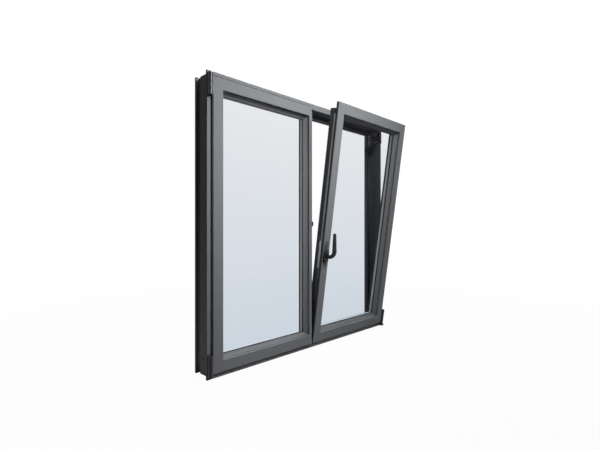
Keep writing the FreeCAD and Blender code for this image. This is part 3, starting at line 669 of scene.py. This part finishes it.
for name, spots, turn, finish in (("lock_screws", lockScrews, lean, ownFinish["lock_rail"]),
                                  ("frame_screws", frameScrews, closed, finishes["steel"])):
    grow(name, studs, pointMesh(name + "_points", spots),
         {"Template": template, "Turn Seed": screws["turnSeed"], "Finish": finish}, turn)
bpy.data.objects.remove(template)
print("screws set:", len(lockScrews) + len(frameScrews))


# Stage: floor and background. Distances in metres; the floor turns white between whiteFrom and whiteTo
stage = {
    "floorHeight": cadLow.z, "floorSize": 12, "floorColour": (0.40, 0.40, 0.40), "floorWhite": 0.97,
    "whiteFrom": 1.0, "whiteTo": 2.5, "worldGlow": 0.02,
}


def backgroundRays(finish):
    # 1 for what the camera, a reflection or the glass sees, 0 for what lights the object
    rays = [finish.node("ShaderNodeLightPath", output=label)
            for label in ("Is Camera Ray", "Is Glossy Ray", "Is Transmission Ray")]
    return finish.node("ShaderNodeClamp", {}, {"Value": rays[0] + rays[1] + rays[2]})


def makeFloor():
    finish = Finish("pale_floor")
    paint = finish.node("ShaderNodeBsdfDiffuse", {}, {"Color": tint(stage["floorColour"])})
    white = finish.node("ShaderNodeEmission", {}, {"Color": (1, 1, 1, 1), "Strength": 1.0})
    # plain white away from the window, so that no horizon shows
    away = finish.node("ShaderNodeVectorMath", {"operation": "LENGTH"}, {0: finish.spot()}, output="Value")
    fade = finish.clamped((away - stage["whiteFrom"]) / (stage["whiteTo"] - stage["whiteFrom"]))
    factor = backgroundRays(finish) * (stage["floorWhite"] + fade * (1 - stage["floorWhite"]))
    finish.surface(finish.node("ShaderNodeMixShader", {}, {0: factor, 1: paint, 2: white}))
    half = stage["floorSize"]
    mesh = bmesh.new()
    corners = [(-half, -half), (half, -half), (half, half), (-half, half)]
    mesh.faces.new([mesh.verts.new((x, y, stage["floorHeight"])) for x, y in corners])
    data = bpy.data.meshes.new("floor")
    mesh.to_mesh(data)
    mesh.free()
    data.materials.append(finish.material)
    floor = bpy.data.objects.new("floor", data)
    scene.collection.objects.link(floor)


def makeWorld():
    world = bpy.data.worlds.new("studio")
    world.use_nodes = True
    scene.world = world
    world.node_tree.nodes.clear()
    tree = Tree(world.node_tree)
    strength = stage["worldGlow"] + backgroundRays(tree) * (1 - stage["worldGlow"])
    glow = tree.node("ShaderNodeBackground", {}, {"Color": (1, 1, 1, 1), "Strength": strength})
    tree.node("ShaderNodeOutputWorld", {}, {"Surface": glow})


# Soft studio lamps: three in front of the window, one above it and one behind it
lamps = {
    "key": {"from": (0.05, -1.45, 1.6), "to": (-0.05, 0, 0.85), "size": (0.6, 0.26), "power": 8, "spread": 75},
    "side": {"from": (-0.38, -1.4, 1.5), "to": (-0.42, 0, 0.66), "size": (0.45, 0.45), "power": 1.3,
             "spread": 50},
    "top": {"from": (0.0, -0.3, 2.3), "to": (0.0, -0.1, 0.0), "size": (1.2, 0.5), "power": 7, "spread": 90},
    "fill": {"from": (0.8, -3.0, 0.7), "to": (0.2, 0, 0.4), "size": (1.2, 1.6), "power": 0.6, "spread": 60},
    "back": {"from": (1.25, 1.6, 3.0), "to": (0.15, 0, 0.45), "size": (1.2, 1.2), "power": 17, "spread": 60},
}


def makeLamp(name, lamp):
    light = bpy.data.lights.new(name, "AREA")
    light.shape = "RECTANGLE"
    light.size, light.size_y = lamp["size"]
    light.energy = lamp["power"]
    light.spread = math.radians(lamp["spread"])
    made = bpy.data.objects.new(name, light)
    made.location = lamp["from"]
    made.rotation_euler = (Vector(lamp["to"]) - Vector(lamp["from"])).to_track_quat("-Z", "Y").to_euler()
    scene.collection.objects.link(made)


camera = {
    "at": (-1.284, -1.2283, 0.5353), "along": (0.7085, 0.7057, 0), "lens": 23.16, "sensor": 36, "rise": 0.0033,
}


def makeCamera():
    lens = bpy.data.cameras.new("camera")
    lens.lens, lens.sensor_width, lens.shift_y = camera["lens"], camera["sensor"], camera["rise"]
    made = bpy.data.objects.new("camera", lens)
    made.location = camera["at"]
    made.rotation_euler = Vector(camera["along"]).to_track_quat("-Z", "Y").to_euler()
    scene.collection.objects.link(made)
    scene.camera = made


makeFloor()
makeWorld()
for name, lamp in lamps.items():
    makeLamp(name, lamp)
makeCamera()
scene.view_settings.view_transform = "Standard"
print("stage set")
